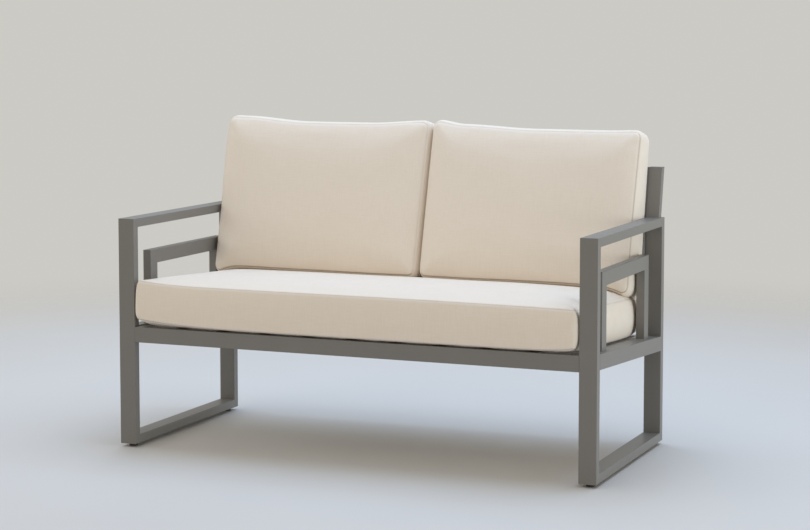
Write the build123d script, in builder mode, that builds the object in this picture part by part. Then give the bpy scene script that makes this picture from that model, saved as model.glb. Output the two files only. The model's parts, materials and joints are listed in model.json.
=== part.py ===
from build123d import *

import math
import os

# A patio loveseat: two welded end frames carry a slatted seat deck and a
# slatted back panel, with one seat cushion and two back cushions.
# Millimetres, +X to the right as seen from the front, +Y to the rear, +Z up.
# The origin is on the floor, in the middle of the frame's footprint.

# Overall sizes
overall_width = 1430.0
frame_depth = 640.0
arm_height = 660.0
seat_height = 350.0
seat_slope_degrees = 3.5
back_lean_degrees = 11.5

# Tube of the end loops
loop_tube_width = 50.0
loop_tube_depth = 25.0
tube_wall = 2.0
tube_round = 1.5

# Rails that carry the seat
seat_rail_depth = 25.0
seat_rail_height = 44.0
side_rail_height = 42.0
side_rail_rise = 3.0

# Inner panel of each arm
arm_panel_drop = 75.0
arm_panel_tube = 40.0
arm_panel_thickness = 25.0
arm_panel_inset = 20.0
arm_panel_front_setback = 105.0
arm_panel_rear_setback = 90.0

# Back uprights and their end caps
upright_width = 40.0
upright_rise = 143.0
cap_plate = 2.5
cap_plug = 12.0
cap_gap = 0.2
cap_chamfer = 0.8

# Seat deck
end_bar_width = 25.0
end_bar_height = 25.0
slat_count = 9
slat_width = 40.0
slat_height = 15.0
slat_wall = 1.5
slat_round = 1.0
cross_bar_size = 25.0

# Back panel
stile_width = 25.0
back_tube_depth = 25.0
back_rail_height = 40.0
back_slat_count = 9
back_slat_width = 30.0
back_slat_depth = 12.0
back_panel_drop = 142.0

# Bolts, washers and rivet nuts
bolt_diameter = 6.0
bolt_length = 35.0
bolt_head_diameter = 10.5
bolt_head_height = 3.3
bolt_head_taper_degrees = 20.0
bolt_socket_across = 4.0
bolt_socket_depth = 2.0
bolt_hole_gap = 0.25
washer_diameter = 12.0
washer_thickness = 1.2
rivet_nut_diameter = 8.0
rivet_nut_length = 14.0
rivet_collar_diameter = 9.4
rivet_collar_thickness = 1.5
thread_gap = 0.1
deck_bolts_per_side = 4
deck_bolt_end_setback = 70.0
back_bolt_top_drop = 60.0
back_bolt_arm_drop = 28.0

# Floor glides
glide_height = 10.0
glide_diameter = 25.0
glide_edge = 1.5
glide_setback = 30.0
glide_travel_gap = 0.1
stud_diameter = 8.0
stud_length = 25.0
stud_seat = 3.0
stud_chamfer = 0.5
insert_diameter = 11.0
insert_length = 13.0
insert_collar_diameter = 14.0
insert_collar_thickness = 1.5

# Cushions
cushion_side_gap = 5.0
cover_thickness = 1.5
foam_gap = 0.3
cushion_rest_gap = 0.3
rest_edge_inset = 20.0
rest_edge_rise = 6.0
seat_front_overhang = 1.0
seat_lift_gap = 4.0
seat_thickness = 124.0
seat_crown = 29.0
seat_corner = 38.0
seat_pull = 5.0
seat_bulge = 3.0
back_cushion_height = 472.0
back_thickness_low = 106.0
back_thickness_high = 76.0
back_crown = 27.0
back_corner = 26.0
back_pull = 7.0
back_bulge = 2.0
back_parting_gap = 6.0
back_parting_offset = 13.0
back_seat_gap = 3.2
zip_band = 9.0
zip_end_setback = 90.0
zip_gap = 0.3
zip_slider_length = 12.0
zip_slider_stand = 0.8

# Cutting tools run past what they cut by this much
overrun = 30.0

# Shares of a cushion's crown: how far in from the seam, and how much of the pull is left
crown_inset_shares = (0.0, 0.07, 0.24, 0.55, 1.0)
crown_pull_shares = (1.0, 0.85, 0.6, 0.4, 0.3)
crown_power = 2.5
crown_run_share = 0.41
rest_middle_shares = (0.45, 0.3)
boxing_middle_share = 0.5
mid_pull_share = 0.4
slider_place_share = 0.8

SIDES = ((-1, "left"), (1, "right"))

# Places that follow from the sizes
slope = math.radians(seat_slope_degrees)
lean = math.radians(back_lean_degrees)
upright_reach = upright_rise * math.tan(lean)
front_face = -(frame_depth + upright_reach) / 2
rear_face = front_face + frame_depth
front_leg_back = front_face + loop_tube_depth
rear_leg_front = rear_face - loop_tube_depth
half_width = overall_width / 2
leg_inner = half_width - loop_tube_width
floor_rail_top = glide_height + loop_tube_depth
arm_rail_bottom = arm_height - loop_tube_depth
arm_panel_top = arm_rail_bottom - arm_panel_drop
rail_back = front_face + seat_rail_depth
rear_rail_front = rear_face - seat_rail_depth
bar_inner = leg_inner - end_bar_width
stile_inner = leg_inner - stile_width


def deck_height(y):
    """Height of the deck's top plane at a depth."""
    return seat_height - (y - rail_back) * math.tan(slope)


def side_rail_top(y):
    """Height of the side rail's top at a depth."""
    return deck_height(y) + side_rail_rise


def back_plane_point(rise):
    """Depth and height of the back's front plane, a distance up its lean from the arm."""
    return Vector(rear_leg_front + rise * math.sin(lean), arm_height + rise * math.cos(lean))


def back_plane_depth(z):
    """Depth of the back's front plane at a height."""
    return rear_leg_front + (z - arm_height) * math.tan(lean)


def save(piece, label):
    """Labels a finished piece and writes it."""
    piece.label = label
    export_step(piece, f"parts/{label}.step")


def strip(outline, wall):
    """Cavity of a tube seen from the side: its two long faces moved in, its ends run past."""
    a0, a1, b1, b0 = (Vector(*corner) for corner in outline)
    along = (a1 - a0).normalized()
    step = b0 - a0
    across = (step - along * step.dot(along)).normalized()
    run = along * overrun
    inward = across * wall
    return [a0 + inward - run, a1 + inward + run, b1 - inward + run, b0 - inward - run]


def flat(points):
    """Vectors as plain pairs, for an outline."""
    return [(point.X, point.Y) for point in points]


def side_tube(spans, outline, wall, rounding, inner_bores=(), upward_bores=()):
    """Tubes that share one outline seen from the side, its long faces first to second
    and third to fourth corner. Each span is the tube's lower X and its width, and each
    bore is its X, depth, height, radius, length and direction."""
    corners = [Vector(*corner) for corner in outline]
    along = (corners[1] - corners[0]).normalized()
    with BuildPart() as tube:
        for low_x, width in spans:
            with BuildSketch(Plane.YZ.offset(low_x)):
                with BuildLine():
                    Polyline(*flat(corners), close=True)
                make_face()
            extrude(amount=width)
        long_edges = tube.edges().filter_by(Axis((0, 0, 0), (0, along.X, along.Y)))
        fillet(long_edges, rounding)
        for low_x, width in spans:
            with BuildSketch(Plane.YZ.offset(low_x + wall)):
                with BuildLine():
                    Polyline(*flat(strip(outline, wall)), close=True)
                make_face()
            extrude(amount=width - 2 * wall, mode=Mode.SUBTRACT)
        for x, y, z, radius, length, direction in inner_bores:
            with BuildSketch(Plane(origin=(x, y, z), z_dir=(direction, 0, 0))):
                Circle(radius)
            extrude(amount=length, mode=Mode.SUBTRACT)
        for x, y, z, radius, length in upward_bores:
            with BuildSketch(Plane(origin=(x, y, z), z_dir=(0, 0, 1))):
                Circle(radius)
            extrude(amount=length, mode=Mode.SUBTRACT)
    return tube.part


def cross_tube(half_length, centre, tilt, depth, height, wall, rounding):
    """A tube along X whose section is centred at a depth and height, its top
    tilted down to the rear by an angle in radians."""
    section = Plane(
        origin=(-half_length, centre.X, centre.Y),
        x_dir=(0, math.cos(tilt), -math.sin(tilt)),
        z_dir=(1, 0, 0),
    )
    with BuildPart() as tube:
        with BuildSketch(section):
            RectangleRounded(depth, height, rounding)
            Rectangle(depth - 2 * wall, height - 2 * wall, mode=Mode.SUBTRACT)
        extrude(amount=2 * half_length)
    return tube.part


def one_side(side, inner_x, width):
    """The lower X and the width of a piece that starts at a distance from the middle."""
    low_x = inner_x if side > 0 else -(inner_x + width)
    return [(low_x, width)]


# Bolt places: side, depth and height of each axis
deck_bolt_depths = [
    front_leg_back + deck_bolt_end_setback
    + index * (rear_leg_front - front_leg_back - 2 * deck_bolt_end_setback) / (deck_bolts_per_side - 1)
    for index in range(deck_bolts_per_side)
]
deck_bolt_places = [(depth, deck_height(depth) - end_bar_height / 2) for depth in deck_bolt_depths]
upper_bolt_height = arm_height + upright_rise - back_bolt_top_drop
lower_bolt_height = arm_height - back_bolt_arm_drop
back_bolt_centre = back_tube_depth / 2 / math.cos(lean)
upper_bolt_place = (back_plane_depth(upper_bolt_height) + back_bolt_centre, upper_bolt_height)
lower_bolt_place = (back_plane_depth(lower_bolt_height) + back_bolt_centre, lower_bolt_height)
back_bolt_places = [upper_bolt_place, lower_bolt_place]
bolt_hole = bolt_diameter / 2 + bolt_hole_gap
nut_hole = rivet_nut_diameter / 2


def wall_bores(side, places):
    """Holes for rivet nuts in a wall that faces the middle of the seat."""
    start = side * (leg_inner - overrun)
    return [(start, y, z, nut_hole, overrun + 2 * tube_wall, side) for y, z in places]


def through_bores(side, inner_x, width, places):
    """Clearance holes for bolts, right through a bar or a stile."""
    start = side * (inner_x - overrun)
    return [(start, y, z, bolt_hole, 2 * overrun + width, side) for y, z in places]


# End frames: a loop of two legs, an arm rail and a floor rail, mitred at the corners
def end_loop(side, name):
    """The four tubes of one end's loop."""
    span = one_side(side, leg_inner, loop_tube_width)
    front_leg = [
        (front_face, glide_height),
        (front_face, arm_height),
        (front_leg_back, arm_rail_bottom),
        (front_leg_back, floor_rail_top),
    ]
    rear_leg = [
        (rear_face, glide_height),
        (rear_face, arm_height),
        (rear_leg_front, arm_rail_bottom),
        (rear_leg_front, floor_rail_top),
    ]
    arm_rail = [
        (front_face, arm_height),
        (rear_face, arm_height),
        (rear_leg_front, arm_rail_bottom),
        (front_leg_back, arm_rail_bottom),
    ]
    floor_rail = [
        (front_face, glide_height),
        (rear_face, glide_height),
        (rear_leg_front, floor_rail_top),
        (front_leg_back, floor_rail_top),
    ]
    insert_bores = [
        (side * glide_x, y, glide_height - overrun, insert_diameter / 2, overrun + 2 * tube_wall)
        for y in glide_depths
    ]
    rear_bores = wall_bores(side, [lower_bolt_place])
    save(side_tube(span, front_leg, tube_wall, tube_round), f"{name}_front_leg")
    save(side_tube(span, rear_leg, tube_wall, tube_round, inner_bores=rear_bores), f"{name}_rear_leg")
    save(side_tube(span, arm_rail, tube_wall, tube_round), f"{name}_arm_rail")
    save(side_tube(span, floor_rail, tube_wall, tube_round, upward_bores=insert_bores), f"{name}_floor_rail")


def side_rail(side, name):
    """The sloping rail between the legs of one end."""
    outline = [
        (front_leg_back, side_rail_top(front_leg_back)),
        (rear_leg_front, side_rail_top(rear_leg_front)),
        (rear_leg_front, side_rail_top(rear_leg_front) - side_rail_height),
        (front_leg_back, side_rail_top(front_leg_back) - side_rail_height),
    ]
    bores = wall_bores(side, deck_bolt_places)
    span = one_side(side, leg_inner, loop_tube_width)
    save(side_tube(span, outline, tube_wall, tube_round, inner_bores=bores), f"{name}_side_rail")


def arm_panel(side, name):
    """The upside-down U of slimmer tube that stands on the side rail."""
    front = front_face + arm_panel_front_setback
    rear = rear_face - arm_panel_rear_setback
    front_in = front + arm_panel_tube
    rear_in = rear - arm_panel_tube
    under = arm_panel_top - arm_panel_tube
    front_post = [
        (front, side_rail_top(front)),
        (front, arm_panel_top),
        (front_in, under),
        (front_in, side_rail_top(front_in)),
    ]
    rear_post = [
        (rear, side_rail_top(rear)),
        (rear, arm_panel_top),
        (rear_in, under),
        (rear_in, side_rail_top(rear_in)),
    ]
    top_rail = [(front, arm_panel_top), (rear, arm_panel_top), (rear_in, under), (front_in, under)]
    inner_x = half_width - arm_panel_inset - arm_panel_thickness
    span = one_side(side, inner_x, arm_panel_thickness)
    save(side_tube(span, front_post, tube_wall, tube_round), f"{name}_panel_front_post")
    save(side_tube(span, rear_post, tube_wall, tube_round), f"{name}_panel_rear_post")
    save(side_tube(span, top_rail, tube_wall, tube_round), f"{name}_panel_top_rail")


# Back uprights stand on the arm rails above the rear legs and lean back
upright_tube_top = arm_height + upright_rise - cap_plate


def upright(side, name):
    """One leaning tube, with the hole of its rivet nut."""
    outline = [
        (back_plane_depth(arm_height), arm_height),
        (back_plane_depth(upright_tube_top), upright_tube_top),
        (back_plane_depth(upright_tube_top) + loop_tube_depth, upright_tube_top),
        (back_plane_depth(arm_height) + loop_tube_depth, arm_height),
    ]
    span = one_side(side, leg_inner, upright_width)
    bores = wall_bores(side, [upper_bolt_place])
    save(side_tube(span, outline, tube_wall, tube_round, inner_bores=bores), f"{name}_back_upright")


def upright_caps():
    """Plastic plugs with a top plate, one in each upright."""
    cap_top = upright_tube_top + cap_plate
    plug_bottom = upright_tube_top - cap_plug
    plug_inset = tube_wall + cap_gap
    plate = [
        (back_plane_depth(upright_tube_top), upright_tube_top),
        (back_plane_depth(cap_top), cap_top),
        (back_plane_depth(cap_top) + loop_tube_depth, cap_top),
        (back_plane_depth(upright_tube_top) + loop_tube_depth, upright_tube_top),
    ]
    front_inset = plug_inset / math.cos(lean)
    plug = [
        (back_plane_depth(plug_bottom) + front_inset, plug_bottom),
        (back_plane_depth(upright_tube_top) + front_inset, upright_tube_top),
        (back_plane_depth(upright_tube_top) + loop_tube_depth - front_inset, upright_tube_top),
        (back_plane_depth(plug_bottom) + loop_tube_depth - front_inset, plug_bottom),
    ]
    with BuildPart() as caps:
        for side, _ in SIDES:
            low_x, width = one_side(side, leg_inner, upright_width)[0]
            with BuildSketch(Plane.YZ.offset(low_x)):
                with BuildLine():
                    Polyline(*plate, close=True)
                make_face()
            extrude(amount=width)
            with BuildSketch(Plane.YZ.offset(low_x + plug_inset)):
                with BuildLine():
                    Polyline(*plug, close=True)
                make_face()
            extrude(amount=width - 2 * plug_inset)
        rims = caps.edges().group_by(Axis.Z)[-1]
        chamfer(rims, cap_chamfer)
    save(caps.part, "upright_caps")


# Seat deck: rails between the legs, end bars bolted to the side rails, slats and a cross bar
def sloping_outline(thickness):
    """A bar under the deck's top plane, between the front and the rear rail."""
    drop = thickness / math.cos(slope)
    return [
        (rail_back, deck_height(rail_back)),
        (rear_rail_front, deck_height(rear_rail_front)),
        (rear_rail_front, deck_height(rear_rail_front) - drop),
        (rail_back, deck_height(rail_back) - drop),
    ]


def spread(inner_x, width, count):
    """Lower X and width of bars spread evenly between two inner faces."""
    gap = (2 * inner_x - count * width) / (count + 1)
    return [(-inner_x + gap + index * (gap + width), width) for index in range(count)]


def seat_deck():
    """The pieces of the slatted seat."""
    front_centre = Vector(front_face + seat_rail_depth / 2, seat_height - seat_rail_height / 2)
    rear_top = deck_height(rear_rail_front)
    rear_centre = Vector(rear_face - seat_rail_depth / 2, rear_top - seat_rail_height / 2)
    rail = (seat_rail_depth, seat_rail_height, tube_wall, tube_round)
    save(cross_tube(leg_inner, front_centre, 0, *rail), "front_seat_rail")
    save(cross_tube(leg_inner, rear_centre, 0, *rail), "rear_seat_rail")
    bar_outline = sloping_outline(end_bar_height)
    for side, name in SIDES:
        bores = through_bores(side, bar_inner, end_bar_width, deck_bolt_places)
        span = one_side(side, bar_inner, end_bar_width)
        save(side_tube(span, bar_outline, tube_wall, tube_round, inner_bores=bores), f"{name}_deck_end_bar")
    slats = spread(bar_inner, slat_width, slat_count)
    save(side_tube(slats, sloping_outline(slat_height), slat_wall, slat_round), "deck_slats")
    middle = (rail_back + rear_rail_front) / 2
    depth_under = slat_height + cross_bar_size / 2
    bar_centre = Vector(
        middle - depth_under * math.sin(slope),
        deck_height(middle) - depth_under * math.cos(slope),
    )
    bar = (cross_bar_size, cross_bar_size, tube_wall, tube_round)
    save(cross_tube(bar_inner, bar_centre, slope, *bar), "deck_cross_bar")


# Back panel: a leaning frame of rails, stiles and slats between the uprights
back_panel_low = arm_height - back_panel_drop
panel_low = (back_panel_low - arm_height) / math.cos(lean)
panel_high = upright_rise / math.cos(lean)


def leaning_outline(low, high, depth):
    """A bar along the back's front plane between two distances up its lean."""
    rear = Vector(math.cos(lean), -math.sin(lean)) * depth
    low_front = back_plane_point(low)
    high_front = back_plane_point(high)
    return flat([low_front, high_front, high_front + rear, low_front + rear])


def back_panel():
    """The pieces of the slatted back."""
    stile_outline = leaning_outline(panel_low, panel_high, back_tube_depth)
    for side, name in SIDES:
        span = one_side(side, stile_inner, stile_width)
        bores = through_bores(side, stile_inner, stile_width, back_bolt_places)
        save(side_tube(span, stile_outline, tube_wall, tube_round, inner_bores=bores), f"{name}_back_stile")
    rear_step = Vector(math.cos(lean), -math.sin(lean)) * (back_tube_depth / 2)
    rail = (back_tube_depth, back_rail_height, tube_wall, tube_round)
    top_centre = back_plane_point(panel_high - back_rail_height / 2) + rear_step
    low_centre = back_plane_point(panel_low + back_rail_height / 2) + rear_step
    save(cross_tube(stile_inner, top_centre, lean, *rail), "back_top_rail")
    save(cross_tube(stile_inner, low_centre, lean, *rail), "back_lower_rail")
    slat_low = panel_low + back_rail_height
    slat_high = panel_high - back_rail_height
    slats = spread(stile_inner, back_slat_width, back_slat_count)
    outline = leaning_outline(slat_low, slat_high, back_slat_depth)
    save(side_tube(slats, outline, slat_wall, slat_round), "back_slats")


# Fasteners, with their axes along X
def bolt_plane(side, x, place):
    """A plane square to a bolt, facing outwards."""
    return Plane(origin=(side * x, *place), z_dir=(side, 0, 0))


def bolts(places, inner_x, label):
    """Button-head bolts with a hexagon socket."""
    seat_x = inner_x - washer_thickness
    with BuildPart() as group:
        for side, _ in SIDES:
            for place in places:
                with BuildSketch(bolt_plane(side, seat_x, place)):
                    Circle(bolt_diameter / 2)
                extrude(amount=bolt_length)
                with BuildSketch(bolt_plane(side, seat_x, place)):
                    Circle(bolt_head_diameter / 2)
                extrude(amount=-bolt_head_height, taper=bolt_head_taper_degrees)
                with BuildSketch(bolt_plane(side, seat_x - bolt_head_height, place)):
                    RegularPolygon(bolt_socket_across / 2, 6, major_radius=False)
                extrude(amount=bolt_socket_depth, mode=Mode.SUBTRACT)
    save(group.part, label)


def washers(places, inner_x, label):
    """Flat washers under the bolt heads."""
    with BuildPart() as group:
        for side, _ in SIDES:
            for place in places:
                with BuildSketch(bolt_plane(side, inner_x - washer_thickness, place)):
                    Circle(washer_diameter / 2)
                    Circle(bolt_hole, mode=Mode.SUBTRACT)
                extrude(amount=washer_thickness)
    save(group.part, label)


def rivet_nuts(places, label):
    """Threaded rivets, set flush in the wall with a collar behind it."""
    bore = bolt_diameter / 2 + thread_gap
    with BuildPart() as group:
        for side, _ in SIDES:
            for place in places:
                with BuildSketch(bolt_plane(side, leg_inner, place)):
                    Circle(rivet_nut_diameter / 2)
                    Circle(bore, mode=Mode.SUBTRACT)
                extrude(amount=rivet_nut_length)
                with BuildSketch(bolt_plane(side, leg_inner + tube_wall, place)):
                    Circle(rivet_collar_diameter / 2)
                    Circle(bore, mode=Mode.SUBTRACT)
                extrude(amount=rivet_collar_thickness)
    save(group.part, label)


# Floor glides: a pad on a stud that screws into an insert in the floor rail
glide_x = half_width - loop_tube_width / 2
glide_depths = [front_face + glide_setback, rear_face - glide_setback]


def glide(side, y, label):
    """One glide's pad and stud."""
    with BuildPart() as pad:
        with BuildSketch():
            with Locations((side * glide_x, y)):
                Circle(glide_diameter / 2)
        extrude(amount=glide_height)
        fillet(pad.edges().group_by(Axis.Z)[0], glide_edge)
        with BuildSketch(Plane.XY.offset(stud_seat)):
            with Locations((side * glide_x, y)):
                Circle(stud_diameter / 2)
        extrude(amount=glide_height, mode=Mode.SUBTRACT)
    save(pad.part, f"{label}_glide_pad")
    with BuildPart() as stud:
        with BuildSketch(Plane.XY.offset(stud_seat)):
            with Locations((side * glide_x, y)):
                Circle(stud_diameter / 2)
        extrude(amount=stud_length)
        chamfer(stud.edges().group_by(Axis.Z)[-1], stud_chamfer)
    save(stud.part, f"{label}_glide_stud")


def glide_inserts():
    """Threaded inserts in the floor rails."""
    with BuildPart() as inserts:
        for side, _ in SIDES:
            for y in glide_depths:
                bore = stud_diameter / 2 + glide_travel_gap
                with BuildSketch(Plane.XY.offset(glide_height)):
                    with Locations((side * glide_x, y)):
                        Circle(insert_diameter / 2)
                        Circle(bore, mode=Mode.SUBTRACT)
                extrude(amount=insert_length)
                with BuildSketch(Plane.XY.offset(glide_height + tube_wall)):
                    with Locations((side * glide_x, y)):
                        Circle(insert_collar_diameter / 2)
                        Circle(bore, mode=Mode.SUBTRACT)
                extrude(amount=insert_collar_thickness)
    save(inserts.part, "glide_inserts")


# The seat cushion ends where its rear still clears the back panel on its way straight up
seat_lean = seat_thickness * math.sin(slope)
seat_rear = back_plane_depth(back_panel_low) - seat_lift_gap - seat_bulge - seat_lean


# Cushions: each is a stack of outlines between the side it rests on and its face
class Cushion:
    """A boxed cushion seen from the side: the two ends of the side it rests on and the
    two ends of its face seam, as depth and height, with its place and width along X."""

    def __init__(self, centre_x, width, base, face, crown, corner, pull, bulge):
        self.centre_x = centre_x
        self.width = width
        self.base = base
        self.face = face
        self.crown = crown
        self.corner = corner
        self.pull = pull
        self.bulge = bulge

    def layer(self, share, inset, lift, skin):
        """Plane and height of the outline at a share of the way from base to face."""
        base_normal = self.normal(*self.base)
        face_normal = self.normal(*self.face)
        ends = []
        for base_end, face_end in zip(self.base, self.face):
            low = base_end + base_normal * skin
            high = face_end - face_normal * skin
            ends.append(low + (high - low) * share)
        normal = self.normal(*ends)
        middle = (ends[0] + ends[1]) / 2 + normal * lift
        plane = Plane(
            origin=(self.centre_x, middle.X, middle.Y),
            x_dir=(1, 0, 0),
            z_dir=(0, normal.X, normal.Y),
        )
        height = (ends[1] - ends[0]).length - 2 * (inset + skin)
        width = self.width - 2 * (inset + skin)
        return plane, width, height

    @staticmethod
    def normal(start, end):
        """Direction from base to face, square to a line."""
        along = (end - start).normalized()
        return Vector(-along.Y, along.X)

    def thickness(self):
        """Mean distance between base and face."""
        return sum((high - low).length for low, high in zip(self.base, self.face)) / 2

    def rows(self):
        """The three stacks: share of the way, inset, lift and pull of each outline."""
        seam = rest_edge_rise / self.thickness()
        middle_inset_share, middle_rise_share = rest_middle_shares
        rest = [
            (0.0, rest_edge_inset, 0.0, self.pull * mid_pull_share),
            (seam * middle_rise_share, rest_edge_inset * middle_inset_share, 0.0, self.pull * mid_pull_share),
            (seam, 0.0, 0.0, self.pull),
        ]
        boxing = [
            (seam, 0.0, 0.0, self.pull),
            (boxing_middle_share, -self.bulge, 0.0, self.pull * mid_pull_share),
            (1.0, 0.0, 0.0, self.pull),
        ]
        run = crown_run_share * min(self.width, (self.face[1] - self.face[0]).length)
        crown = [
            (1.0, run * share, self.crown * (1 - (1 - share) ** crown_power), self.pull * pull_share)
            for share, pull_share in zip(crown_inset_shares, crown_pull_shares)
        ]
        return rest, boxing, crown

    def form(self, skin):
        """The cushion's solid, shrunk all round by a skin."""
        corner = self.corner - skin
        with BuildPart() as body:
            for stack in self.rows():
                for share, inset, lift, pull in stack:
                    plane, width, height = self.layer(share, inset, lift, skin)
                    x, y = width / 2, height / 2
                    bend = corner * (1 - math.sqrt(0.5))
                    with BuildSketch(plane):
                        with BuildLine():
                            ThreePointArc((-x + corner, -y), (0, -y + pull), (x - corner, -y))
                            ThreePointArc((x - corner, -y), (x - bend, -y + bend), (x, -y + corner))
                            ThreePointArc((x, -y + corner), (x - pull, 0), (x, y - corner))
                            ThreePointArc((x, y - corner), (x - bend, y - bend), (x - corner, y))
                            ThreePointArc((x - corner, y), (0, y - pull), (-x + corner, y))
                            ThreePointArc((-x + corner, y), (-x + bend, y - bend), (-x, y - corner))
                            ThreePointArc((-x, y - corner), (-x + pull, 0), (-x, -y + corner))
                            ThreePointArc((-x, -y + corner), (-x + bend, -y + bend), (-x + corner, -y))
                        make_face()
                loft()
        return body.part

    def build(self, name, zip_side):
        """Writes the cover, the foam core and the zip, which runs along one edge."""
        outer = self.form(0)
        inner = self.form(cover_thickness)
        plane, width, height = self.layer(boxing_middle_share, 0, 0, 0)
        zip_length = width - 2 * zip_end_setback
        edge = (0, zip_side * height / 2)
        slot_low = plane.offset(-zip_band / 2)
        band_low = plane.offset(-zip_band / 2 + zip_gap)
        with BuildPart() as cover:
            add(outer)
            add(inner, mode=Mode.SUBTRACT)
            with BuildSketch(slot_low):
                with Locations(edge):
                    Rectangle(zip_length, overrun)
            extrude(amount=zip_band, mode=Mode.SUBTRACT)
        save(cover.part, f"{name}_cover")
        with BuildPart() as closure:
            add(outer)
            add(inner, mode=Mode.SUBTRACT)
            with BuildSketch(band_low):
                with Locations(edge):
                    Rectangle(zip_length - 2 * zip_gap, overrun)
            extrude(amount=zip_band - 2 * zip_gap, mode=Mode.INTERSECT)
            slider_x = slider_place_share * zip_length / 2
            arc_half = width / 2 + self.bulge - self.corner
            sag = self.pull * mid_pull_share * (1 - (slider_x / arc_half) ** 2)
            slider_y = zip_side * (height / 2 + self.bulge - sag)
            with BuildSketch(band_low):
                with Locations((slider_x, slider_y)):
                    Rectangle(zip_slider_length, 2 * zip_slider_stand)
            extrude(amount=zip_band - 2 * zip_gap)
        save(closure.part, f"{name}_zip")
        save(self.form(cover_thickness + foam_gap), f"{name}_foam")


def seat_cushion():
    """The seat cushion lies on the deck, from the front face to just short of the back panel."""
    front = front_face - seat_front_overhang
    rise = Vector(math.sin(slope), math.cos(slope))
    base = []
    face = []
    for y in (front, seat_rear):
        floor_point = Vector(y, deck_height(y)) + rise * cushion_rest_gap
        base.append(floor_point)
        face.append(floor_point + rise * (seat_thickness - cushion_rest_gap))
    width = 2 * (leg_inner - cushion_side_gap)
    cushion = Cushion(0, width, base, face, seat_crown, seat_corner, seat_pull, seat_bulge)
    cushion.build("seat_cushion", 1)
    return cushion


def seat_top(y):
    """Height of the seat cushion's face seam plane at a depth."""
    return deck_height(y) + seat_thickness / math.cos(slope)


def back_cushion_lines():
    """Rest side and face seam of a back cushion, seen from the side."""
    low_guess = seat_top(rear_leg_front) + seat_crown
    rear_low_y = back_plane_depth(low_guess) - cushion_rest_gap
    front_y = rear_low_y - back_thickness_low
    front_z = seat_top(front_y) + seat_crown * (1 - (1 - back_rest_share(front_y)) ** crown_power)
    front_low = Vector(front_y, front_z + back_seat_gap)
    taper = math.atan((back_thickness_low - back_thickness_high) / back_cushion_height)
    face_lean = lean + taper
    front_high = front_low + Vector(math.sin(face_lean), math.cos(face_lean)) * back_cushion_height
    across = Vector(math.cos(lean + taper / 2), -math.sin(lean + taper / 2))
    up = Vector(math.sin(lean), math.cos(lean))
    rear = Vector(math.cos(lean), -math.sin(lean))
    plane_point = back_plane_point(0) - rear * cushion_rest_gap
    base = []
    for corner in (front_low, front_high):
        reach = (plane_point - corner).dot(rear) / across.dot(rear)
        foot = corner + across * reach
        base.append(plane_point + up * (foot - plane_point).dot(up))
    return base, [front_low, front_high]


def back_rest_share(y):
    """Share of the seat cushion's crown run that lies behind a depth."""
    seam_rear = seat_rear + seat_lean
    return min(1.0, (seam_rear - y) / (crown_run_share * (seat_rear - front_face)))


def back_cushions():
    """The two back cushions stand on the seat cushion and lean on the back panel."""
    base, face = back_cushion_lines()
    edge = leg_inner - cushion_side_gap
    parting_left = back_parting_offset - back_parting_gap / 2
    parting_right = back_parting_offset + back_parting_gap / 2
    for name, low_x, high_x in (
        ("left_back_cushion", -edge, parting_left),
        ("right_back_cushion", parting_right, edge),
    ):
        middle = (low_x + high_x) / 2
        width = high_x - low_x
        cushion = Cushion(middle, width, base, face, back_crown, back_corner, back_pull, back_bulge)
        cushion.build(name, -1)


os.makedirs("parts", exist_ok=True)

for side, name in SIDES:
    end_loop(side, name)
    side_rail(side, name)
    arm_panel(side, name)
    upright(side, name)
    glide(side, glide_depths[0], f"front_{name}")
    glide(side, glide_depths[1], f"rear_{name}")

upright_caps()
seat_deck()
back_panel()
bolts(deck_bolt_places, bar_inner, "deck_bolts")
washers(deck_bolt_places, bar_inner, "deck_washers")
rivet_nuts(deck_bolt_places, "deck_rivet_nuts")
bolts(back_bolt_places, stile_inner, "back_bolts")
washers(back_bolt_places, stile_inner, "back_washers")
rivet_nuts(back_bolt_places, "back_rivet_nuts")
glide_inserts()
seat_cushion()
back_cushions()
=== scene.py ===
"""Patio loveseat, dressed: cushions, zips and finishes round its fixed frame.

Metres, +X to the right as seen from the front, +Y to the rear, +Z up.
"""

from __future__ import annotations

import json
import logging
import math
from dataclasses import dataclass, field
from enum import Enum
from typing import Any, Iterable, Sequence

import bpy
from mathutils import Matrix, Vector, noise
from mathutils.bvhtree import BVHTree

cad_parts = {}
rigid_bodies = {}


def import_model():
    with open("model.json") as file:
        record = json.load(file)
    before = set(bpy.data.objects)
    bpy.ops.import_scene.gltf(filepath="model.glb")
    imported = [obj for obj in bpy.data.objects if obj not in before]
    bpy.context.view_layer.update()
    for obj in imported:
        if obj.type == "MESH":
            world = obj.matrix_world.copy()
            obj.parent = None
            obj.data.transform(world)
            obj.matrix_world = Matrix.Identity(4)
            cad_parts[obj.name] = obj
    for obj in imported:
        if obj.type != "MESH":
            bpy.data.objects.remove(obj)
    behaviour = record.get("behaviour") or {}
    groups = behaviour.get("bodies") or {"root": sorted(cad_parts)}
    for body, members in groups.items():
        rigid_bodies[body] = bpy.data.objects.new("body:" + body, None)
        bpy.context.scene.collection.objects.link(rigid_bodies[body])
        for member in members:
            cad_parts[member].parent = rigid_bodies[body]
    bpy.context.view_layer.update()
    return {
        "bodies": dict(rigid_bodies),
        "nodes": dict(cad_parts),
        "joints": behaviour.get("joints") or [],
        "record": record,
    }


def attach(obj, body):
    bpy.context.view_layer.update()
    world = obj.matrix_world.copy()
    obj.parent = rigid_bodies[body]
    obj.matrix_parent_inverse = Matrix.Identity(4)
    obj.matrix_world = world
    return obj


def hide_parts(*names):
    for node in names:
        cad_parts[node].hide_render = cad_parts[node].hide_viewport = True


LOG = logging.getLogger("loveseat")

MM = 0.001
Colour = tuple[float, float, float, float]
Pair = tuple[float, float]
Triple = tuple[float, float, float]
Line = tuple[Pair, ...]
Faces = list[Sequence[int]]

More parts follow.
